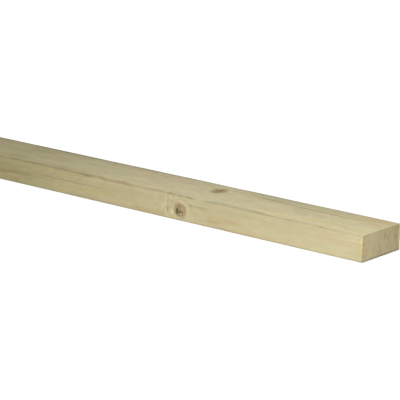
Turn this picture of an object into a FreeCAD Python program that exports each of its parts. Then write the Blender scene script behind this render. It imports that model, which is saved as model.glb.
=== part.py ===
import FreeCAD, Part
import os

# Treated softwood roof batten, one sawn length, millimetres.
# It lies on its wide face: +X along the length, Y across the width, +Z through the thickness.
# The origin is the middle of the underside.

length = 1800.0          # a length that battens are sold in
width = 50.0             # wide face
thickness = 22.0         # narrow face
arris_radius = 0.5       # easing of the four long edges
end_break = 0.3          # small bevel that handling leaves round each sawn end


def sawn_section():
    """The batten's rectangle, standing across X at the left end."""
    left = -length / 2
    side = width / 2
    corners = [
        FreeCAD.Vector(left, -side, 0),
        FreeCAD.Vector(left, side, 0),
        FreeCAD.Vector(left, side, thickness),
        FreeCAD.Vector(left, -side, thickness),
    ]
    outline = Part.makePolygon(corners + corners[:1])
    return Part.Face(outline)


def runs_lengthwise(edge):
    return abs(edge.tangentAt(edge.FirstParameter).x) > 0.999


def lies_on_an_end(edge):
    return abs(abs(edge.CenterOfMass.x) - length / 2) < 0.001


def ease_arrises(stick):
    long_edges = [edge for edge in stick.Edges if runs_lengthwise(edge)]
    return stick.makeFillet(arris_radius, long_edges)


def break_ends(stick):
    end_edges = [edge for edge in stick.Edges if lies_on_an_end(edge)]
    return stick.makeChamfer(end_break, end_edges)


def make_batten():
    stick = sawn_section().extrude(FreeCAD.Vector(length, 0, 0))
    return break_ends(ease_arrises(stick))


def main():
    os.makedirs("parts", exist_ok=True)
    batten = make_batten()
    batten.exportStep("parts/batten.step")
    print("batten", round(batten.Volume), "mm3", batten.BoundBox)


main()
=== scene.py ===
import math

import bpy
import numpy as np
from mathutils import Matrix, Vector, noise


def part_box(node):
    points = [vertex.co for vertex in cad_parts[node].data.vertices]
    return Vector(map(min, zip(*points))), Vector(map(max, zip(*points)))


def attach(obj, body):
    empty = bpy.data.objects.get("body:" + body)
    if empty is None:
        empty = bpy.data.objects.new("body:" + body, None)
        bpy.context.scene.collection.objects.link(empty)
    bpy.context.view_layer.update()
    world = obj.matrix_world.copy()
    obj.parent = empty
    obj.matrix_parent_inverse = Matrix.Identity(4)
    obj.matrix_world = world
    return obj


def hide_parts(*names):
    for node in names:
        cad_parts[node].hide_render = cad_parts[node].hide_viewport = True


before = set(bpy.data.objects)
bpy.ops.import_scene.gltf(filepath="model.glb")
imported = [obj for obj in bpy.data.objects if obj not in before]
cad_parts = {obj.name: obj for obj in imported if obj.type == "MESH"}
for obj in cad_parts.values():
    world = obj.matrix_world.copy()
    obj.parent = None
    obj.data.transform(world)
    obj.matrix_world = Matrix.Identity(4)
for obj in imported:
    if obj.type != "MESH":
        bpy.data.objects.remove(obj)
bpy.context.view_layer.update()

mm = 0.001
perMetre = 1000.0                  # millimetres, for the wood's patterns
scene = bpy.context.scene
scene.view_settings.view_transform = "Standard"

lowCorner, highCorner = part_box("batten")
length, width, thickness = highCorner - lowCorner
rightEnd = highCorner.x
frontFace = lowCorner.y

view = {
    "azimuth": 40.943,             # degrees round from the front, towards the right end
    "elevation": 14.940,
    "distance": 1894.65 * mm,
    "aimFromEnd": 195.5 * mm,      # the point looked at: back from the right end,
    "aimBehindFront": 30.9 * mm,   # in from the front face,
    "aimHeight": 11.0 * mm,        # and up from the underside
    "lens": 200.4,
    "clipEnd": 100,
}


def addCamera():
    around = math.radians(view["azimuth"])
    up = math.radians(view["elevation"])
    level = math.cos(up)
    towardsCamera = Vector((math.sin(around) * level, -math.cos(around) * level, math.sin(up)))
    aim = Vector((rightEnd - view["aimFromEnd"], frontFace + view["aimBehindFront"], view["aimHeight"]))
    data = bpy.data.cameras.new("camera")
    data.lens = view["lens"]
    data.clip_end = view["clipEnd"]
    camera = bpy.data.objects.new("camera", data)
    camera.location = aim + towardsCamera * view["distance"]
    camera.rotation_euler = towardsCamera.to_track_quat("Z", "Y").to_euler()
    scene.collection.objects.link(camera)
    scene.camera = camera


addCamera()
print("camera placed")


class Wire:                        # one socket, written with like a number, a vector or a colour
    def __init__(self, tree, socket=None):
        self.tree = tree
        self.socket = socket

    def make(self, kind, settings, inputs, out=0):
        node = self.tree.nodes.new(kind)
        for name, value in settings.items():
            setattr(node, name, value)
        for name, value in inputs.items():
            if isinstance(value, Wire):
                self.tree.links.new(value.socket, node.inputs[name])
            else:
                node.inputs[name].default_value = value
        if isinstance(out, tuple):
            return [Wire(self.tree, node.outputs[name]) for name in out]
        return Wire(self.tree, node.outputs[out]) if node.outputs else None

    def maths(self, operation, *values):
        if not any(isVector(value) for value in values):
            return self.make("ShaderNodeMath", {"operation": operation}, dict(enumerate(values)))
        values = [(value,) * 3 if isinstance(value, (int, float)) else value for value in values]
        return self.make("ShaderNodeVectorMath", {"operation": operation}, dict(enumerate(values)))

    def __add__(self, other):
        return self.maths("ADD", self, other)

    def __sub__(self, other):
        return self.maths("SUBTRACT", self, other)

    def __rsub__(self, other):
        return self.maths("SUBTRACT", other, self)

    def __mul__(self, other):
        return self.maths("MULTIPLY", self, other)

    def __truediv__(self, other):
        return self.maths("DIVIDE", self, other)

    def __rtruediv__(self, other):
        return self.maths("DIVIDE", other, self)

    __radd__ = __add__
    __rmul__ = __mul__

    def by(self, operation):       # what a function such as SINE makes of this
        return self.maths(operation, self)

    def atLeast(self, least):
        return self.maths("MAXIMUM", self, least)

    def dot(self, other):
        return self.make("ShaderNodeVectorMath", {"operation": "DOT_PRODUCT"}, {0: self, 1: other}, "Value")

    def size(self):
        return self.make("ShaderNodeVectorMath", {"operation": "LENGTH"}, {0: self}, "Value")

    def joined(self, x, y, z):
        return self.make("ShaderNodeCombineXYZ", {}, {0: x, 1: y, 2: z})

    def step(self, low, high):     # 0 below low, 1 above high, smooth between
        ends = {"Value": self, "From Min": low, "From Max": high}
        return self.make("ShaderNodeMapRange", {"interpolation_type": "SMOOTHSTEP"}, ends)

    def hump(self, centre, half):  # 1 at the centre, falling to nothing past a couple of halves
        away = (self - centre) / half
        return self.maths("EXPONENT", away * away * -1.0)

    def clouds(self, spacing, detail, seed):          # about -1 to 1, spaced apart by these distances
        place = self * tuple(1 / distance for distance in spacing)
        inputs = {"Vector": place, "W": seed, "Scale": 1.0, "Detail": detail, "Roughness": 0.55}
        return (self.make("ShaderNodeTexNoise", {"noise_dimensions": "4D"}, inputs) - 0.5) * 2.0

    def mixed(self, first, second, blend="MIX"):      # this is the share of the second colour
        settings = {"data_type": "RGBA", "blend_type": blend}
        return self.make("ShaderNodeMix", settings, {0: self, 6: first, 7: second}, 2)

    def dimmed(self, value):       # a colour times a value
        settings = {"data_type": "RGBA", "blend_type": "MULTIPLY"}
        return self.make("ShaderNodeMix", settings, {0: 1.0, 6: self, 7: value}, 2)


def isVector(value):
    return isinstance(value, tuple) or isinstance(value, Wire) and value.socket.type == "VECTOR"


def newMaterial(name):
    material = bpy.data.materials.new(name)
    material.use_nodes = True
    material.node_tree.nodes.clear()
    return material, Wire(material.node_tree)


def srgb(red, green, blue):        # a colour as it is read off a colour card, 0 to 255
    shares = [value / 255 for value in (red, green, blue)]
    return tuple(s / 12.92 if s <= 0.04045 else ((s + 0.055) / 1.055) ** 2.4 for s in shares) + (1.0,)


thinnestKnot = 0.2 * mm
# A knot is a cone. It leaves a face at (fromEnd, behind, up), measured from the right end, the front face
# and the underside, points outwards along "towards", and gets narrower inwards by "taper". Its looks are
# how dark it is, how much dark heart and light halo it has, how much of it shows, and its dark rim.
knots = [
    # the two near the right end: in the front face and in the top face
    {"fromEnd": 190.5 * mm, "behind": 0.0 * mm, "up": 9.6 * mm, "towards": (0, -1, 0.05),
     "radius": 7.6 * mm, "taper": 0.085, "dark": 0.6, "core": 0.25, "halo": 0.9, "shown": 0.58, "rim": 0.0},
    {"fromEnd": 175.5 * mm, "behind": 33.3 * mm, "up": 22.0 * mm, "towards": (0, -0.6, 0.8),
     "radius": 7.4 * mm, "taper": 0.085, "dark": 1.1, "core": 0.2, "halo": 0.2, "shown": 0.78, "rim": 0.0},
    # a pair in the front and back faces
    {"fromEnd": 622.0 * mm, "behind": 0.0 * mm, "up": 14.0 * mm, "towards": (0, -1, 0.1),
     "radius": 5.2 * mm, "taper": 0.06, "dark": 0.8, "core": 0.6, "halo": 0.7, "shown": 0.8, "rim": 0.35},
    {"fromEnd": 637.0 * mm, "behind": 50.0 * mm, "up": 8.5 * mm, "towards": (0, 0.9, -0.3),
     "radius": 6.0 * mm, "taper": 0.09, "dark": 0.7, "core": 0.5, "halo": 0.6, "shown": 0.8, "rim": 0.35},
    # a pair in the top face and the underside
    {"fromEnd": 1041.0 * mm, "behind": 19.0 * mm, "up": 22.0 * mm, "towards": (0, -0.5, 0.85),
     "radius": 7.6 * mm, "taper": 0.08, "dark": 0.8, "core": 0.7, "halo": 0.6, "shown": 0.8, "rim": 0.35},
    {"fromEnd": 1057.0 * mm, "behind": 36.0 * mm, "up": 0.0 * mm, "towards": (0, -0.4, -0.9),
     "radius": 5.0 * mm, "taper": 0.05, "dark": 0.7, "core": 0.5, "halo": 0.5, "shown": 0.8, "rim": 0.35},
    # and one in the front face, towards the left end
    {"fromEnd": 1458.0 * mm, "behind": 0.0 * mm, "up": 12.0 * mm, "towards": (0, -1, -0.1),
     "radius": 7.4 * mm, "taper": 0.085, "dark": 0.8, "core": 0.9, "halo": 0.9, "shown": 0.8, "rim": 0.35},
]


battenShape = {
    "nearLength": 440 * mm,        # the stretch from the right end with the finer mesh
    "nearStep": 1.6 * mm,
    "farStep": 6.5 * mm,
    "knotStep": 0.9 * mm,
    "knotMesh": 1.6,               # the knots' own step reaches this far, in knot radii
    "wideRows": 44,                # points between the arrises on a wide face
    "narrowRows": 18,
    "arrisRadius": 0.38 * mm,
    "arrisWander": 0.45,           # how much the easing comes and goes, as a share,
    "wanderBroad": 38 * mm,        # over these distances
    "wanderFine": 9 * mm,
    "sawWave": 0.07 * mm,          # the faces' slight waves, and their length along and round the stick
    "waveAlong": 30 * mm,
    "waveRound": 6 * mm,
    "knotGroove": 0.16 * mm,       # where the wood has shrunk away round a knot
    "grooveHalf": 0.14,            # its half width, and how far the pits reach, in knot radii
    "pitReach": 0.75,
    "knotPits": 0.22 * mm,
    "pitSpacing": 2.2 * mm,
    "knotReach": 2.2,              # past this many knot radii from its line, or this far along it,
    "knotLength": 60 * mm,         # a knot no longer shapes the surface
    "breakAngles": (25, 60, 90),   # the rings of the rounding round a sawn end, in degrees
    "endBreak": 0.34 * mm,
    "leastBreak": 0.25,            # its smallest size, as a share
    "endRagged": 0.9,              # how much its size changes along an edge, and over what distances
    "raggedFine": 1.7 * mm,
    "raggedBroad": 6 * mm,
    "steadyCorner": 2 * mm,        # the raggedness fades out this near a corner
    "breakRoom": 2.2,              # the rounding starts this many times its size in from the end
    "endTear": 0.12 * mm,          # how deep fibre is torn out of the sawn ends, and over what distances
    "tearAcross": 2.5 * mm,
    "tearUp": 7 * mm,
    "tearFade": 3 * mm,            # the tearing starts from nothing at the edges
    "endEdgeRow": 0.35 * mm,       # the rows of points over an end start this close together
}
# places where the saw or handling took more off a corner: which, from the right end, half length, depth
rubbedCorners = [
    (0, 135 * mm, 26 * mm, 0.5 * mm), (0, 52 * mm, 18 * mm, 0.4 * mm), (0, 204 * mm, 6 * mm, 1.1 * mm),
    (0, 250 * mm, 30 * mm, 0.9 * mm), (0, 330 * mm, 14 * mm, 0.6 * mm), (0, 395 * mm, 20 * mm, 0.5 * mm),
    (1, 90 * mm, 20 * mm, 0.3 * mm), (1, 310 * mm, 30 * mm, 0.2 * mm), (3, 9 * mm, 5 * mm, 0.7 * mm),
    (3, 150 * mm, 12 * mm, 0.5 * mm), (2, 720 * mm, 60 * mm, 1.6 * mm), (1, 1210 * mm, 70 * mm, 1.2 * mm),
]
# corners in order round the section, as sides of Y and Z: front top, back top, back bottom, front bottom
cornerSides = [(-1, 1), (1, 1), (1, -1), (-1, -1)]
faceNormals = [(0, 1), (1, 0), (0, -1), (-1, 0)]      # top, back, bottom, front; each follows its corner
arcOut = (45, 67.5, 90)            # degrees: the second half of a corner's arc, which leads on to a face,
arcIn = (0, 22.5)                  # and the first half of the next one, where that face ends


def stationDistances():            # how far each ring of points stands from the right end
    shape = battenShape
    distances = [0.0]
    while distances[-1] < length:
        here = distances[-1]
        step = shape["nearStep"] if here < shape["nearLength"] else shape["farStep"]
        if any(abs(here - knot["fromEnd"]) < shape["knotMesh"] * knot["radius"] for knot in knots):
            step = shape["knotStep"]
        distances.append(here + step)
    return np.array(distances) * length / distances[-1]


def arrisRadius(corner, distance):
    shape = battenShape
    broad = noise.noise((distance / shape["wanderBroad"], corner * 7.3, 0.0))
    fine = noise.noise((distance / shape["wanderFine"], corner * 3.1, 5.0))
    radius = shape["arrisRadius"] * (1 + shape["arrisWander"] * (broad + 0.5 * fine))
    for at, centre, half, depth in rubbedCorners:
        if at == corner:
            radius += depth * math.exp(-((distance - centre) / half) ** 2)
    return radius


def outline(distance):             # (y, z, normal y, normal z) for each point round the section
    radii = [arrisRadius(corner, distance) for corner in range(4)]
    middle = (0.0, thickness / 2)
    sides = (width / 2, thickness / 2)

    def arcPoint(corner, degrees):
        before = faceNormals[corner - 1]
        after = faceNormals[corner]
        angle = math.radians(degrees)
        normal = [math.cos(angle) * before[k] + math.sin(angle) * after[k] for k in (0, 1)]
        centre = [middle[k] + cornerSides[corner][k] * (sides[k] - radii[corner]) for k in (0, 1)]
        return (*[centre[k] + radii[corner] * normal[k] for k in (0, 1)], *normal)

    points = []
    for corner in range(4):
        rows = battenShape["wideRows"] if corner % 2 == 0 else battenShape["narrowRows"]
        leaving = [arcPoint(corner, degrees) for degrees in arcOut]
        arriving = [arcPoint((corner + 1) % 4, degrees) for degrees in arcIn]
        start = Vector(leaving[-1][:2])
        finish = Vector(arriving[0][:2])
        face = [start.lerp(finish, row / (rows + 1)) for row in range(1, rows + 1)]
        points += leaving + [(*place, *faceNormals[corner]) for place in face] + arriving
    return np.array(points)


def knotSpace(place, knot):        # (distance from the knot's line in radii, place along it)
    start = Vector((rightEnd - knot["fromEnd"], frontFace + knot["behind"], knot["up"]))
    line = Vector(knot["towards"]).normalized()
    offset = place - start
    along = offset.dot(line)
    radius = max(knot["radius"] + knot["taper"] * along, thinnestKnot)
    return (offset - line * along).length / radius, along


def reliefDepth(place, distance, spot):               # how far the surface lies under the flat face
    shape = battenShape
    wave = noise.noise((distance / shape["waveAlong"], spot / shape["waveRound"], 1.0))
    depth = shape["sawWave"] * (0.6 + 0.4 * wave)
    for knot in knots:
        if abs(place.x - (rightEnd - knot["fromEnd"])) > 3 * knot["radius"]:   # well clear of it
            continue
        share, along = knotSpace(place, knot)
        if abs(along) > shape["knotLength"] or share > shape["knotReach"]:
            continue
        depth += shape["knotGroove"] * math.exp(-((share - 1.0) / shape["grooveHalf"]) ** 2)
        rough = noise.noise([value / shape["pitSpacing"] for value in place])
        pits = shape["knotPits"] * knot["core"] * max(rough, 0.0)
        depth += pits * math.exp(-(share / shape["pitReach"]) ** 2)
    return depth


def surfaceRing(distance):         # the points round the stick, this far from its right end
    section = outline(distance)
    steps = np.hypot(*np.diff(section[:, :2], axis=0).T)
    spots = np.concatenate([[0], np.cumsum(steps)])
    points = []
    for (y, z, normalY, normalZ), spot in zip(section, spots):
        place = Vector((rightEnd - distance, y, z))
        normal = Vector((0, normalY, normalZ))
        points.append(place - normal * reliefDepth(place, distance, spot))
    return points


def breakSize(place, seed):        # ragged along the edges, steady at the corners
    shape = battenShape
    fromCorner = max(width / 2 - abs(place.y), thickness / 2 - abs(place.z - thickness / 2))
    fine = noise.noise((place.y / shape["raggedFine"], place.z / shape["raggedFine"], seed))
    broad = noise.noise((place.y / shape["raggedBroad"], place.z / shape["raggedBroad"], seed + 3))
    ragged = shape["endRagged"] * (1.6 * fine + broad) * min(fromCorner / shape["steadyCorner"], 1)
    return shape["endBreak"] * max(shape["leastBreak"], 1 + ragged)


def brokenEnd(ring, normals, sign, seed):             # the rings that round a sawn end over
    rows = []
    for degrees in battenShape["breakAngles"]:
        angle = math.radians(degrees)
        row = []
        for place, (normalY, normalZ) in zip(ring, normals):
            size = breakSize(place, seed)
            inset = Vector((0, normalY, normalZ)) * size * (1 - math.cos(angle))
            outwards = Vector((sign * size * (math.sin(angle) - 1), 0, 0))
            row.append(place + outwards - inset)
        rows.append(row)
    return rows


def makeBattenMesh():
    shape = battenShape
    rings = [surfaceRing(distance) for distance in stationDistances()]
    normals = outline(0.0)[:, 2:]
    right = brokenEnd(rings[0], normals, 1, 11.0)
    left = brokenEnd(rings[-1], normals, -1, 23.0)
    room = shape["breakRoom"] * shape["endBreak"]
    rings[0] = [Vector((rightEnd - room, p.y, p.z)) for p in rings[0]]
    rings[-1] = [Vector((rightEnd - length + room, p.y, p.z)) for p in rings[-1]]
    rings = right[::-1] + rings + left

    travel = np.array([rightEnd - ring[0].x for ring in rings])
    turns = len(shape["breakAngles"])
    for k in range(turns):         # the rounded ends get a little width of their own on the map
        travel[k] = -(turns - k) * stripMap["breakRow"]
        travel[-1 - k] = length + (turns - k) * stripMap["breakRow"]

    count = len(normals)
    vertices = [place for ring in rings for place in ring]
    faces = []
    uvs = []
    spots = seamPlaces()
    for row in range(len(rings) - 1):
        for k in range(count):
            after = (k + 1) % count
            a, b = row * count, (row + 1) * count
            faces.append((a + k, b + k, b + after, a + after))
            uvs.append(stripUv(travel[row], travel[row + 1], spots[k], spots[k + 1], travel))
    addCap(vertices, faces, uvs, 0, count, True)
    addCap(vertices, faces, uvs, (len(rings) - 1) * count, count, False)

    mesh = bpy.data.meshes.new("batten_timber")
    mesh.from_pydata(vertices, [], faces)
    layer = mesh.uv_layers.new(name="OFBake")
    layer.uv.foreach_set("vector", [value for corners in uvs for corner in corners for value in corner])
    mesh.polygons.foreach_set("use_smooth", [True] * len(faces))
    mesh.update()
    return mesh


# The unwrapped sides are cut into strips that lie one over another, with the two ends below them.
stripMap = {
    "strips": 3,
    "gap": 0.006,
    "endRow": 0.1,                 # share of the map's height that the two ends take
    "breakRow": 0.5 * mm,
}


def seamPlaces():                  # share of the way round at each point, from the front top corner
    ring = outline(length / 2)
    closed = np.vstack([ring, ring[:1]])
    steps = np.hypot(closed[1:, 0] - closed[:-1, 0], closed[1:, 1] - closed[:-1, 1])
    return np.concatenate([[0], np.cumsum(steps)]) / steps.sum()


def stripUv(start, finish, low, high, travel):        # the four corners of one face on the map
    strips = stripMap["strips"]
    gap = stripMap["gap"]
    part = (travel[-1] - travel[0]) / strips
    middle = ((start + finish) / 2 - travel[0]) / part
    strip = min(int(middle), strips - 1)
    tall = (1 - stripMap["endRow"]) / strips
    base = stripMap["endRow"] + strip * tall
    left, right = [gap * 2 + (1 - 4 * gap) * ((t - travel[0]) / part - strip) for t in (start, finish)]
    under, over = [base + gap + (tall - 2 * gap) * s for s in (low, high)]
    return [(left, under), (right, under), (right, over), (left, over)]


def capRows(count, span):          # shares of the way over an end: two close rows at each edge
    edge = battenShape["endEdgeRow"] / span
    return [0.0, edge, *np.linspace(2 * edge, 1 - 2 * edge, count - 3), 1 - edge, 1.0]


def addCap(vertices, faces, uvs, first, count, rightHand):     # closes an end whose rim starts at first
    shape = battenShape
    arcSteps = len(arcOut) + len(arcIn)
    wide = shape["wideRows"] + arcSteps
    narrow = shape["narrowRows"] + arcSteps
    top = [first + k for k in range(wide + 1)]
    back = [first + wide + k for k in range(narrow + 1)][::-1]
    bottom = [first + wide + narrow + k for k in range(wide + 1)][::-1]
    front = [first + (2 * wide + narrow + k) % count for k in range(narrow + 1)]
    grid = [[None] * (narrow + 1) for _ in range(wide + 1)]
    for i in range(wide + 1):
        grid[i][0], grid[i][narrow] = bottom[i], top[i]
    for j in range(narrow + 1):
        grid[0][j], grid[wide][j] = front[j], back[j]

    inwards = -1 if rightHand else 1
    backwards = capRows(wide, width)
    upwards = capRows(narrow, thickness)
    for i in range(1, wide):
        for j in range(1, narrow):
            under, over = vertices[bottom[i]], vertices[top[i]]
            near, far = vertices[front[j]], vertices[back[j]]
            y = near.y + (far.y - near.y) * backwards[i]
            z = under.z + (over.z - under.z) * upwards[j]
            fromEdge = min(y - near.y, far.y - y, z - under.z, over.z - z)
            torn = 0.5 + 0.5 * noise.noise((y / shape["tearAcross"], z / shape["tearUp"], 9.0))
            depth = shape["endTear"] * torn * min(fromEdge / shape["tearFade"], 1)
            grid[i][j] = len(vertices)
            vertices.append(Vector((under.x + inwards * depth, y, z)))

    gap = stripMap["gap"]
    left = gap if rightHand else 0.5 + gap
    wideShare = 0.5 - 2 * gap
    highShare = stripMap["endRow"] - 2 * gap
    for i in range(wide):
        for j in range(narrow):
            corners = [grid[i][j], grid[i + 1][j], grid[i + 1][j + 1], grid[i][j + 1]]
            if not rightHand:
                corners.reverse()
            faces.append(tuple(corners))
            places = [vertices[corner] for corner in corners]
            uvs.append([(left + wideShare * (place.y / width + 0.5), gap + highShare * place.z / thickness)
                        for place in places])


# Places in the wood are in mm: back from the right end, in from the front face, up from the underside.
battenWood = {
    "pale": srgb(210, 199, 161),   # sapwood
    "tan": srgb(208, 190, 152),
    "green": srgb(190, 191, 150),  # where the preservative shows
    "straw": srgb(207, 194, 136),
    "brown": srgb(156, 132, 90),   # latewood and stains
    "orange": srgb(206, 174, 114),
    "greyDirtAndShade": srgb(136, 131, 100),   # dirt along the corners, and painted shade where they turn from the light
    "sootAndShade": srgb(104, 102, 80),
    "knotPale": srgb(172, 144, 100),
    "knotBrown": srgb(128, 96, 48),
    "knotGrey": srgb(116, 104, 78),
    "knotCore": srgb(58, 44, 18),
    "resin": srgb(240, 228, 180),
    # painted highlights on torn fibres at the sawn end's edges
    "splinterHighlight": srgb(246, 226, 170),
    # A darker, yellower stretch along the stick: painted shade where the light falls off away from the
    # right end, partly older wood.
    "agedAndShadedTint": (1.0, 0.99, 0.84, 1.0),          # multiplies the colour of that darker stretch
    "endGrain": (1.07, 1.04, 1.03, 1.0),     # multiplies the colour of the sawn ends
    "shadedStretchAt": 455.0,                # the middle of a darker stretch,
    "shadedStretchReach": 135.0,             # how far it fades out towards the right end,
    "shadedStretchTail": 520.0,              # and away from it
    "shadedStretchDarkening": 0.30,
    "tanAmount": 0.40,             # how much of these colours there is where their patterns are even,
    "greenAmount": 0.25,
    "strawAmount": 0.18,
    "tanPatchy": 0.7,              # and how much the patterns change that
    "greenPatchy": 0.7,
    "strawPatchy": 0.8,
    "fibreShade": 0.07,            # how much lighter and darker the grain makes the wood
    "streakShade": 0.08,
    "mottleShade": 0.11,
    "fuzzShade": 0.12,
    "patchShade": 0.12,
    "plainer": 0.55,               # the narrow faces have less of that near the right end,
    "plainTo": (150.0, 230.0),     # up to here, and all of it from there on
    "backShade": 0.08,             # the wood is darker towards its back,
    "backFrom": (10.0, 32.0),      # from here, and in full from there on
    "lateShown": 0.30,
    "grimeAndShadeShown": 0.42,
    "grimeAndShadePatchy": 0.6,
    "grimeAndShadeHalf": 0.9,              # how far the dirt and painted shade reach from a corner
    "grimeAndShadeFrom": (0.6, 2.4),       # it comes on between these, back from the sawn right end
    "fibreHeight": 0.04,
    "lateHeight": 0.05,
    "crumbHeight": 0.10,
    "sawHeight": 0.02,
    "fuzzHeight": 0.03,
    "roughness": 0.74,
    "fibreRough": 0.05,
    "streakRough": 0.04,
    "gloss": 0.2,
}
growth = {
    "pith": (86.0, -14.0),         # the tree's middle, in from the front face and up from the underside
    "ringWidth": 3.3,
    "unevenSpacing": 11.0,         # wider and narrower rings come in turn, over this distance
    "unevenness": 1.2,
    "broadDrift": 2.2,             # how far the rings wander, slowly and quickly
    "fineDrift": 0.7,
    "bulge": 4.0,                  # how far they bulge round a knot,
    "bulgeReach": 1.7,             # up to this many knot radii
    "waver": 0.8,                  # how far the fibres waver,
    "farWaver": 2.8,               # how much more away from the right end,
    "farFrom": (200.0, 300.0),     # from here, and in full from there on
    "lateFrom": (0.35, 0.93),      # latewood comes on between these shares of a ring's width
    "lateStop": 0.95,              # and ends between here and the ring's edge
    "lateLeast": 0.15,             # how brown the palest rings are
    "lateAmount": 0.8,             # how much latewood there is where its pattern is even,
    "latePatchy": 0.9,             # and how much the pattern changes that
}
# Cloud patterns: how far apart along, across and up, how much detail, and a number that sets each apart.
grain = {
    "broadDrift": ((520, 90, 90), 1.0, 1.0),
    "fineDrift": ((70, 14, 14), 2.0, 2.0),
    "fibres": ((14, 0.8, 0.8), 3.0, 3.0),
    "streaks": ((60, 3.4, 3.4), 3.0, 4.0),
    "greening": ((36, 9, 9), 3.0, 5.0),
    "tint": ((26, 5, 5), 3.0, 6.0),
    "knotWobble": ((5, 5, 5), 2.0, 7.0),
    "knotCrumbs": ((2.2, 2.2, 2.2), 3.0, 8.0),
    "knotSpecks": ((1.7, 1.7, 1.3), 1.0, 9.0),
    "sawMarks": ((0.9, 14, 14), 1.0, 10.0),
    "fuzz": ((3.6, 1.9, 1.9), 2.0, 12.0),
    "mottle": ((13, 4.5, 4.5), 3.0, 13.0),
    "grimeAndShade": ((22, 9, 9), 3.0, 14.0),
    "yellowing": ((9, 4, 4), 2.0, 15.0),
    "patches": ((34, 11, 11), 2.0, 16.0),
    "latePatches": ((45, 7, 7), 2.0, 17.0),
    "blush": ((7, 3.5, 3.5), 2.0, 18.0),
    "waver": ((26, 30, 30), 2.0, 19.0),
}
# Distances here are in knot radii from the knot's middle.
knotLook = {
    "edge": (0.58, 1.18),          # it fades out between these
    "wobble": 0.2,                 # how far from round it is
    "ringCount": 24.0,             # how close its own rings stand, and how dark they are
    "ringShade": 0.14,
    "crumbShade": 0.7,
    "core": (0.1, 0.8),            # the dark heart fades out between these
    "coreAmount": 0.35,            # how much of the heart is dark, and how crumbly it is
    "corePatchy": 1.2,
    "haloAt": 1.6,                 # the middle of the light ring round it, and its half width
    "haloHalf": 0.55,
    "haloShown": 0.45,
    "haloSpecks": (0.25, 0.6),     # the ring is broken up into specks: higher is fewer
    "rimHalf": 0.09,               # half the width of the dark rim
}
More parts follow.
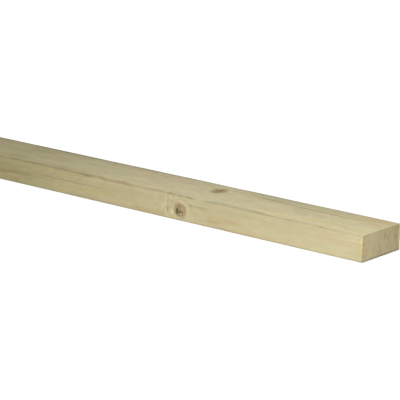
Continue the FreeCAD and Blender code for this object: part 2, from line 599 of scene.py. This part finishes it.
# Stains, tints and specks: where, half size each way, colour, and how much of it there is.
stains = [
    # the wide face: a brown ring near the back, with a greener band behind it, and painted shade along the
    # back corner
    ((122, 38.3, 22), (18, 1.2, 6), "brown", 0.75),
    ((70, 36.2, 22), (34, 1.0, 6), "brown", 0.80),
    ((105, 45, 22), (90, 5, 10), "green", 0.60),
    ((95, 44, 22), (80, 5, 10), "brown", 0.20),
    ((14, 44, 22), (26, 9, 8), "orange", 0.30),
    ((225, 36, 22), (30, 2.5, 8), "brown", 0.16),
    ((320, 45, 22), (120, 5, 8), "brown", 0.16),
    # painted shade along the back corner, where it turns away from the light
    ((345, 49.6, 22), (130, 2.8, 3), "sootAndShade", 0.78),
    ((480, 49.6, 22), (120, 2.4, 3), "sootAndShade", 0.45),
    ((165, 49.6, 22), (50, 2.6, 3), "sootAndShade", 0.62),
    ((232, 49.7, 22), (50, 2.2, 3), "sootAndShade", 0.45),
    ((60, 49.6, 22), (60, 2.2, 3), "sootAndShade", 0.42),
    ((88, 27, 22), (5, 3, 3), "greyDirtAndShade", 0.22),
    ((78, 21, 22), (6, 4, 3), "greyDirtAndShade", 0.26),
    ((62, 25, 22), (4, 3, 3), "greyDirtAndShade", 0.26),
    ((140, 27, 22), (12, 4, 4), "green", 0.35),
    ((60, 11, 22), (60, 4, 4), "straw", 0.35),
    ((320, 22, 22), (110, 11, 5), "green", 0.25),
    ((385, 37, 22), (15, 4, 5), "brown", 0.26),
    ((395, 8, 22), (20, 6, 4), "brown", 0.30),
    ((362, 20, 22), (20, 5, 5), "brown", 0.16),
    ((250, 22, 22), (34, 8, 5), "tan", 0.30),
    # the front corner, rubbed and dirty in places
    ((158, 5, 22), (12, 5, 3), "green", 0.40),
    ((222, 1.4, 22), (12, 2.0, 1.2), "brown", 0.40),
    ((258, 1.8, 22), (9, 2.4, 1.5), "brown", 0.50),
    ((282, 1.0, 22), (12, 1.8, 1.2), "brown", 0.50),
    ((302, 1.0, 22), (9, 1.8, 1.2), "sootAndShade", 0.35),
    ((330, 1.8, 22), (10, 2.8, 1.2), "sootAndShade", 0.38),
    ((365, 1.2, 22), (12, 1.8, 1.2), "brown", 0.50),
    ((388, 1.2, 22), (6, 2.4, 1.2), "sootAndShade", 0.30),
    ((325, 6, 22), (36, 5, 4), "brown", 0.32),
    ((310, 0, 21.4), (100, 3, 0.7), "brown", 0.34),
    ((310, 0, 19.8), (17, 3, 1.3), "orange", 0.45),
    ((345, 0, 19.2), (14, 3, 1.2), "orange", 0.25),
    # the front face
    ((153, 0, 7.6), (10, 5, 2.0), "orange", 0.24),
    ((143, 0, 9.2), (15, 5, 2.6), "orange", 0.24),
    ((154, 0, 6.6), (9, 5, 1.2), "brown", 0.28),
    ((134, 0, 8.8), (9, 5, 2.2), "brown", 0.24),
    ((117, 0, 1.4), (22, 4, 1.4), "orange", 0.34),
    ((178, 0, 1.2), (12, 4, 1.4), "orange", 0.30),
    ((228, 0, 3), (18, 4, 3), "orange", 0.28),
    ((318, 0, 12.6), (48, 4, 0.8), "brown", 0.34),
    ((395, 0, 9.4), (46, 4, 1.5), "brown", 0.42),
    ((285, 0, 8.5), (26, 4, 3), "straw", 0.60),
    ((262, 0, 7), (11, 4, 4), "tan", 0.55),
    ((320, 0, 2.4), (110, 4, 1.8), "green", 0.30),
    ((240, 0, 14), (26, 4, 3), "tan", 0.40),
    ((80, 0, 18), (70, 4, 3.5), "brown", 0.10),
    # the right end
    ((0, 1.5, 12), (3, 2.4, 9), "orange", 0.50),
    ((0, 23, 7), (5, 1.3, 4), "brown", 0.34),
    ((0, 30, 16), (5, 1.4, 3.6), "brown", 0.42),
    ((0, 35, 14), (5, 2.6, 6), "green", 0.40),
    ((0, 44.4, 12), (5, 1.8, 6), "brown", 0.36),
    ((0, 49.9, 11), (3, 0.9, 10), "sootAndShade", 0.50),
    # painted shade along the bottom edge of the sawn end, where it faces the floor
    ((0, 25, 0.2), (3, 30, 1.2), "sootAndShade", 0.85),
    # painted highlights where torn fibres on the front edge of the sawn end catch the light
    ((0.3, 0, 18.2), (1.0, 0.8, 2.0), "splinterHighlight", 0.90),
    ((0.3, 0, 13.2), (0.8, 0.7, 2.6), "splinterHighlight", 0.75),
    ((0.3, 0, 7.8), (0.8, 0.7, 1.8), "splinterHighlight", 0.40),
    ((0.3, 0, 3.4), (0.7, 0.6, 1.2), "splinterHighlight", 0.25),
    ((1.6, 0, 16.4), (0.7, 0.8, 0.6), "splinterHighlight", 0.60),
    ((0.2, 0.2, 5.0), (0.6, 0.6, 4.5), "brown", 0.30),
    ((0.2, 0.2, 10.6), (0.6, 0.6, 1.2), "brown", 0.30),
    ((0.2, 0.2, 15.7), (0.6, 0.6, 0.9), "brown", 0.30),
    ((0, 48.3, 9), (2, 0.6, 4.5), "splinterHighlight", 0.60),
    ((0, 46, 4), (5, 2.6, 3), "green", 0.40),
]
# The same again for small marks that the grain does not bend.
marks = [
    # the front corner, rubbed and dirty in places
    ((128, 1.6, 22), (30, 2.2, 1.2), "greyDirtAndShade", 0.28),
    ((106, 0.8, 22), (8, 1.2, 1.0), "sootAndShade", 0.30),
    ((148, 2.8, 22), (10, 1.8, 1.0), "greyDirtAndShade", 0.20),
    ((50, 2.0, 22), (24, 2.2, 1.2), "greyDirtAndShade", 0.14),
    ((203.0, 1.0, 22), (3.0, 1.6, 1.2), "sootAndShade", 0.62),
    ((198.0, 0.4, 21.8), (3.0, 1.0, 0.8), "greyDirtAndShade", 0.40),
    ((190.5, 0.6, 22), (2.4, 1.3, 1.0), "greyDirtAndShade", 0.50),
    ((181, 0.6, 21.8), (4.2, 1.4, 1.0), "sootAndShade", 0.42),
    ((212, 0.8, 22), (5, 1.4, 0.8), "brown", 0.40),
    ((75, 0.2, 21.8), (5, 0.8, 0.7), "brown", 0.40),
    ((92, 0.2, 21.8), (7, 0.8, 0.7), "brown", 0.30),
    ((36, 0.2, 21.8), (8, 0.8, 0.7), "greyDirtAndShade", 0.20),
    ((298, 0, 20.9), (5.0, 3, 0.6), "sootAndShade", 0.45),
    ((250, 0, 21.1), (9.0, 3, 0.6), "brown", 0.40),
    ((42, 0.3, 21.7), (0.9, 0.8, 0.6), "sootAndShade", 0.50),
    ((169.5, 0.8, 21.8), (4.6, 2.2, 1.6), "pale", 0.70),
    ((155, 0.4, 21.8), (7, 0.7, 0.6), "brown", 0.35),
    # a short crack beside the front knot
    ((170, 0, 15.0), (9, 4, 0.9), "brown", 0.42),
    ((179.2, 0, 15.1), (1.3, 4, 1.2), "brown", 0.45),
    # the front knot's dark heart, its cracks, and the light ring of torn fibre and resin round it
    ((193.9, 0, 9.4), (1.5, 4, 1.3), "knotCore", 1.0),
    ((194.5, 0, 6.9), (1.4, 4, 1.7), "knotCore", 1.0),
    ((192.6, 0, 8.0), (2.4, 4, 2.6), "knotGrey", 0.75),
    ((192.2, 0, 9.9), (0.6, 4, 0.6), "resin", 0.60),
    ((192.1, 0, 12.9), (3.2, 4, 0.9), "knotGrey", 0.50),
    ((190.4, 0, 7.6), (1.0, 4, 0.9), "knotCore", 0.80),
    ((188.2, 0, 7.7), (1.0, 4, 0.9), "knotCore", 0.45),
    ((188.7, 0, 5.7), (0.8, 4, 1.3), "knotCore", 0.60),
    ((190.9, 0, 11.2), (0.8, 4, 0.7), "knotCore", 0.40),
    ((186.4, 0, 12.3), (0.9, 4, 0.8), "knotGrey", 0.45),
    ((185.1, 0, 10.1), (0.8, 4, 1.0), "knotGrey", 0.40),
    ((185.8, 0, 7.1), (0.8, 4, 0.8), "knotGrey", 0.40),
    ((189.9, 0, 5.9), (0.9, 4, 0.6), "resin", 0.65),
    ((192.4, 0, 4.4), (1.2, 4, 0.8), "knotGrey", 0.55),
    ((190.6, 0, 17.0), (2.0, 4, 0.7), "resin", 0.60),
    ((187.4, 0, 15.9), (2.0, 4, 0.8), "resin", 0.60),
    ((184.5, 0, 14.1), (1.4, 4, 1.0), "resin", 0.55),
    ((182.7, 0, 11.6), (0.8, 4, 1.6), "resin", 0.50),
    ((182.4, 0, 8.4), (0.7, 4, 1.6), "resin", 0.35),
    ((200.4, 0, 6.4), (1.0, 4, 1.5), "resin", 1.0),
    ((198.9, 0, 4.6), (0.8, 4, 0.9), "resin", 0.55),
    ((197.8, 0, 17.4), (1.6, 4, 0.6), "resin", 0.40),
    ((206.8, 0, 6.2), (0.7, 4, 2.0), "resin", 0.65),
    ((204.9, 0, 3.4), (0.8, 4, 1.2), "resin", 0.45),
    ((207.9, 0, 12.5), (1.6, 4, 0.7), "resin", 0.60),
    ((210.5, 0, 9.8), (1.8, 4, 0.7), "resin", 0.55),
    ((209.6, 0, 7.6), (0.9, 4, 0.6), "resin", 0.40),
    ((206.7, 0, 16.0), (0.8, 4, 1.4), "resin", 0.55),
    ((201.5, 0, 18.6), (1.2, 4, 0.7), "resin", 0.55),
    ((194.7, 0, 19.0), (1.5, 4, 0.6), "resin", 0.50),
    ((202.8, 0, 13.8), (0.6, 4, 0.9), "resin", 0.40),
    ((205.0, 0, 7.6), (0.6, 4, 2.4), "brown", 0.85),
    ((203.0, 0, 9.2), (0.5, 4, 0.9), "brown", 0.45),
    ((204.6, 0, 14.6), (0.8, 4, 1.8), "brown", 0.45),
    ((199.3, 0, 15.4), (2.2, 4, 0.6), "brown", 0.35),
    # the wide face's knot
    ((176.0, 33.6, 22), (6.0, 3.4, 3), "brown", 0.30),
    ((177.8, 32.6, 22), (2.0, 2.2, 3), "knotCore", 0.34),
    ((174.6, 34.6, 22), (1.8, 2.2, 3), "knotCore", 0.46),
    ((180.4, 38.4, 22), (1.3, 1.8, 3), "green", 0.45),
    ((172.6, 31.0, 22), (1.6, 2.2, 3), "knotBrown", 0.40),
    ((170.6, 33.6, 22), (1.4, 2.6, 3), "tan", 0.30),
]


def inWood(wire):
    place = wire.make("ShaderNodeTexCoord", {}, {}, "Object")
    turned = place * (-perMetre, perMetre, perMetre)
    return turned + (rightEnd * perMetre, -frontFace * perMetre, 0.0)


def stained(place, colour, spots):
    for centre, half, tone, strength in spots:
        away = (place - tuple(map(float, centre))) * tuple(1 / h for h in half)
        amount = away.size().hump(0.0, 1.0) * strength
        colour = amount.mixed(colour, battenWood[tone])
    return colour


def knotField(place, knot):        # where each point of the wood is, seen from the knot's own line
    start = tuple(knot[key] * perMetre for key in ("fromEnd", "behind", "up"))
    line = Vector(knot["towards"]).normalized()
    side = Vector((1, 0, 0)).cross(line)
    offset = place - start
    along = offset.dot(tuple(line))
    radius = (along * knot["taper"] + knot["radius"] * perMetre).atLeast(thinnestKnot * perMetre)
    across = offset - place.joined(along * line.x, along * line.y, along * line.z)
    sideways = offset.dot(tuple(side))
    return {"share": across.size() / radius, "across": across, "sideways": sideways, "side": side}


def bentGrain(place, back, fields):                   # places along the fibres, and the rings' bulge
    bent = place
    bulge = 0.0
    for field in fields:           # the fibres part round each knot, and the rings bulge outwards with it
        near = 1.0 / (field["share"] * field["share"]).atLeast(1.0)
        push = field["sideways"] * near * -1.0
        bent = bent + place.joined(0.0, push * field["side"].y, push * field["side"].z)
        bulge = field["share"].hump(0.0, growth["bulgeReach"]) * growth["bulge"] + bulge
    amount = back.step(*growth["farFrom"]) * growth["farWaver"] + growth["waver"]
    waver = place.clouds(*grain["waver"]) * amount
    return bent + place.joined(0.0, waver, waver), bulge


def latewood(place, bent, bulge):  # 1 in the darkest of the brown growth lines
    broad = place.clouds(*grain["broadDrift"]) * growth["broadDrift"]
    drift = broad + place.clouds(*grain["fineDrift"]) * growth["fineDrift"]
    fromPith = (bent - (0.0, *growth["pith"])) * (0.0, 1.0, 1.0)
    radius = fromPith.size() + drift - bulge
    inputs = {"W": radius / growth["unevenSpacing"], "Scale": 1.0, "Detail": 0.0}
    unevenness = place.make("ShaderNodeTexNoise", {"noise_dimensions": "1D"}, inputs)
    rings = radius / growth["ringWidth"] + unevenness * growth["unevenness"]
    part = rings.by("FRACT")
    settings = {"noise_dimensions": "1D"}
    luck = place.make("ShaderNodeTexWhiteNoise", settings, {"W": rings.by("FLOOR")}, "Value")
    least = growth["lateLeast"]
    band = part.step(*growth["lateFrom"]) * (1.0 - part.step(growth["lateStop"], 1.0))
    patches = place.clouds(*grain["latePatches"]) * growth["latePatchy"] + growth["lateAmount"]
    return band * (luck * (1 - least) + least) * patches


def bareWood(place, bent):         # the colour before any stain, growth line or knot
    wood = battenWood
    tint = bent.clouds(*grain["tint"]) * wood["tanPatchy"]
    tanning = tint + place.clouds(*grain["blush"]) * wood["tanPatchy"] + wood["tanAmount"]
    colour = tanning.step(0.0, 1.0).mixed(wood["pale"], wood["tan"])
    greening = bent.clouds(*grain["greening"]) * wood["greenPatchy"] + wood["greenAmount"]
    colour = greening.step(0.0, 1.0).mixed(colour, wood["green"])
    yellowing = place.clouds(*grain["yellowing"]) * wood["strawPatchy"] + wood["strawAmount"]
    return yellowing.step(0.0, 1.0).mixed(colour, wood["straw"])


def oldAndShadedStretch(back):              # 1 in the middle of the darker stretch: painted shade where the light falls off, partly older wood
    wood = battenWood
    past = back.step(wood["shadedStretchAt"] - 1, wood["shadedStretchAt"])
    tail = back.hump(wood["shadedStretchAt"], wood["shadedStretchTail"]) * past
    return back.hump(wood["shadedStretchAt"], wood["shadedStretchReach"]).atLeast(tail)


def cornerGrimeAndShade(place):            # 1 along the four long corners, 0 a millimetre or so away: dirt and painted shade on the arrises
    middle = (0.0, width * perMetre / 2, thickness * perMetre / 2)
    inset = ((place - middle).by("ABSOLUTE") * -1.0 + middle) * (0.0, 1.0, 1.0)
    patchy = place.clouds(*grain["grimeAndShade"]) * battenWood["grimeAndShadePatchy"] + 1.0
    return inset.size().hump(0.0, battenWood["grimeAndShadeHalf"]) * patchy


def withKnot(colour, height, knot, field):            # the colour and the height with this knot in them
    wood = battenWood
    look = knotLook
    share = field["share"] + field["across"].clouds(*grain["knotWobble"]) * look["wobble"]
    crumbs = field["across"].clouds(*grain["knotCrumbs"])
    inside = (1.0 - share.step(*look["edge"])) * knot["shown"]
    rings = (share * look["ringCount"]).by("SINE")
    dark = crumbs * look["crumbShade"] + rings * look["ringShade"] + 0.5 * knot["dark"]
    disc = dark.step(0.0, 1.0).mixed(wood["knotPale"], wood["knotBrown"])
    crumbly = (crumbs * look["corePatchy"] + look["coreAmount"]).step(0.1, 0.9)
    core = (1.0 - share.step(*look["core"])) * crumbly * knot["core"]
    disc = core.mixed(disc, wood["knotCore"])
    specks = field["across"].clouds(*grain["knotSpecks"]).step(*look["haloSpecks"])
    halo = share.hump(look["haloAt"], look["haloHalf"]) * specks * knot["halo"] * look["haloShown"]
    colour = halo.mixed(colour, wood["resin"])
    colour = inside.mixed(colour, disc)
    colour = (share.hump(1.0, look["rimHalf"]) * knot["rim"]).mixed(colour, wood["knotCore"])
    return colour, height + inside * crumbs * wood["crumbHeight"]


def woodMaterial():
    material, wire = newMaterial("treated_softwood_sawn")
    wood = battenWood
    place = inWood(wire)
    back = place.dot((1.0, 0.0, 0.0))
    facing = wire.make("ShaderNodeTexCoord", {}, {}, "Normal")
    sideways = facing.dot((0.0, 1.0, 0.0))
    endways = facing.dot((1.0, 0.0, 0.0))
    fields = [knotField(place, knot) for knot in knots]
    bent, bulge = bentGrain(place, back, fields)
    late = latewood(place, bent, bulge)
    oldAndShaded = oldAndShadedStretch(back)
    fibres = bent.clouds(*grain["fibres"])
    streaks = bent.clouds(*grain["streaks"])
    mottle = bent.clouds(*grain["mottle"])
    patches = bent.clouds(*grain["patches"])
    fuzz = place.clouds(*grain["fuzz"])

    colour = stained(bent, bareWood(place, bent), stains)
    colour = (late * wood["lateShown"]).mixed(colour, wood["brown"])
    # the darker stretch: painted shade of the falling light, partly older wood
    colour = oldAndShaded.mixed(colour, wood["agedAndShadedTint"], "MULTIPLY")

    plain = sideways * sideways * (1.0 - back.step(*wood["plainTo"])) * -wood["plainer"] + 1.0
    texture = fibres * wood["fibreShade"] + streaks * wood["streakShade"] + mottle * wood["mottleShade"]
    texture = texture + fuzz * wood["fuzzShade"] + patches * wood["patchShade"]
    inwards = place.dot((0.0, 1.0, 0.0)).step(*wood["backFrom"])
    shade = texture * plain - inwards * wood["backShade"] + 1.0
    # dimmed further in the darker stretch: painted shade where the light falls off
    colour = colour.dimmed(shade * (1.0 - oldAndShaded * wood["shadedStretchDarkening"]))
    # painted shade and some dirt along the four long corners, where the arrises turn away from the light
    # and the bottom ones meet the floor
    grimeAndShade = cornerGrimeAndShade(place) * back.step(*wood["grimeAndShadeFrom"]) * wood["grimeAndShadeShown"]
    colour = grimeAndShade.mixed(colour, wood["greyDirtAndShade"])

    height = fibres * wood["fibreHeight"] + late * wood["lateHeight"]
    for knot, field in zip(knots, fields):
        colour, height = withKnot(colour, height, knot, field)
    colour = stained(place, colour, marks)
    onEnd = (endways * endways).step(0.4, 0.8)        # 1 on the sawn ends, 0 on the four sides
    colour = onEnd.mixed(colour, wood["endGrain"], "MULTIPLY")

    height = height + place.clouds(*grain["sawMarks"]) * wood["sawHeight"] + fuzz * wood["fuzzHeight"]
    bump = wire.make("ShaderNodeBump", {}, {"Strength": 1.0, "Distance": mm, "Height": height})
    roughness = fibres * wood["fibreRough"] + streaks * wood["streakRough"] + wood["roughness"]
    shader = wire.make("ShaderNodeBsdfPrincipled", {}, {
        "Base Color": colour, "Roughness": roughness, "Normal": bump, "Specular IOR Level": wood["gloss"]})
    wire.make("ShaderNodeOutputMaterial", {}, {"Surface": shader})
    return material


def addBatten():
    mesh = makeBattenMesh()
    print("batten shaped:", len(mesh.polygons), "faces")
    batten = bpy.data.objects.new("batten_timber", mesh)
    scene.collection.objects.link(batten)
    mesh.materials.append(woodMaterial())
    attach(batten, "root")
    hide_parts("batten")
    return batten


batten = addBatten()
print("wood made")


studio = {
    "floorSize": 60.0,
    "floorPale": (0.82, 0.82, 0.82, 1.0),
    "floorShown": 0.40,            # share of the real, shadowed floor that is seen; the rest is white
    "floorWhite": 1.42,
    "white": (1.0, 1.0, 1.0, 1.0),
    "sky": 0.505,
    "skyShown": 1.0,
    # lamps: from the right end, behind the front face, up; size; power
    "endLamp": {"place": (-0.17, -0.34, 0.35), "size": 0.30, "power": 1.9},
    "softBox": {"place": (0.75, -2.4, 1.2), "size": 2.0, "power": 11.0},
    "backBox": {"place": (2.6, 2.2, 0.30), "size": 1.6, "power": 15.0},
    "lampAim": (0.05, 0.01),       # where lamps point at: at least this far from the right end, and up
}


def seenDirectly(wire):            # 1 for the camera, mirrors and glass, 0 for light that falls on things
    rays = ("Is Camera Ray", "Is Glossy Ray", "Is Transmission Ray")
    camera, glossy, clear = wire.make("ShaderNodeLightPath", {}, {}, rays)
    return camera.atLeast(glossy).atLeast(clear)


def addFloor():
    half = studio["floorSize"] / 2
    mesh = bpy.data.meshes.new("floor")
    corners = [(-half, -half, 0), (half, -half, 0), (half, half, 0), (-half, half, 0)]
    mesh.from_pydata(corners, [], [(0, 1, 2, 3)])
    floor = bpy.data.objects.new("floor", mesh)
    scene.collection.objects.link(floor)
    material, wire = newMaterial("pale_floor")
    matt = wire.make("ShaderNodeBsdfDiffuse", {}, {"Color": studio["floorPale"]})
    glow = wire.make("ShaderNodeEmission", {}, {"Color": studio["white"], "Strength": studio["floorWhite"]})
    share = seenDirectly(wire) * (1 - studio["floorShown"])
    shader = wire.make("ShaderNodeMixShader", {}, {0: share, 1: matt, 2: glow})
    wire.make("ShaderNodeOutputMaterial", {}, {"Surface": shader})
    mesh.materials.append(material)


def addWorld():
    world = bpy.data.worlds.new("studio")
    world.use_nodes = True
    world.node_tree.nodes.clear()
    wire = Wire(world.node_tree)
    sky = wire.make("ShaderNodeBackground", {}, {"Color": studio["white"], "Strength": studio["sky"]})
    seen = wire.make("ShaderNodeBackground", {}, {"Color": studio["white"], "Strength": studio["skyShown"]})
    shader = wire.make("ShaderNodeMixShader", {}, {0: seenDirectly(wire), 1: sky, 2: seen})
    wire.make("ShaderNodeOutputWorld", {}, {"Surface": shader})
    scene.world = world


def addLamp(name, lit=None):       # lit: the one object that it lights, if not all of them
    lamp = studio[name]
    fromEnd, behind, up = lamp["place"]
    nearest, aimUp = studio["lampAim"]
    place = Vector((rightEnd - fromEnd, frontFace + behind, up))
    aim = Vector((rightEnd - max(fromEnd, nearest), frontFace, aimUp))
    data = bpy.data.lights.new(name, "AREA")
    data.shape = "DISK"
    data.size = lamp["size"]
    data.energy = lamp["power"]
    light = bpy.data.objects.new(name, data)
    light.location = place
    light.rotation_euler = (place - aim).to_track_quat("Z", "Y").to_euler()
    light.visible_camera = False
    scene.collection.objects.link(light)
    if lit:
        group = bpy.data.collections.new(name + "_lights")
        group.objects.link(lit)
        light.light_linking.receiver_collection = group


addFloor()
addWorld()
addLamp("softBox")
addLamp("backBox")
addLamp("endLamp", lit=batten)
print("floor, sky and lamps placed")
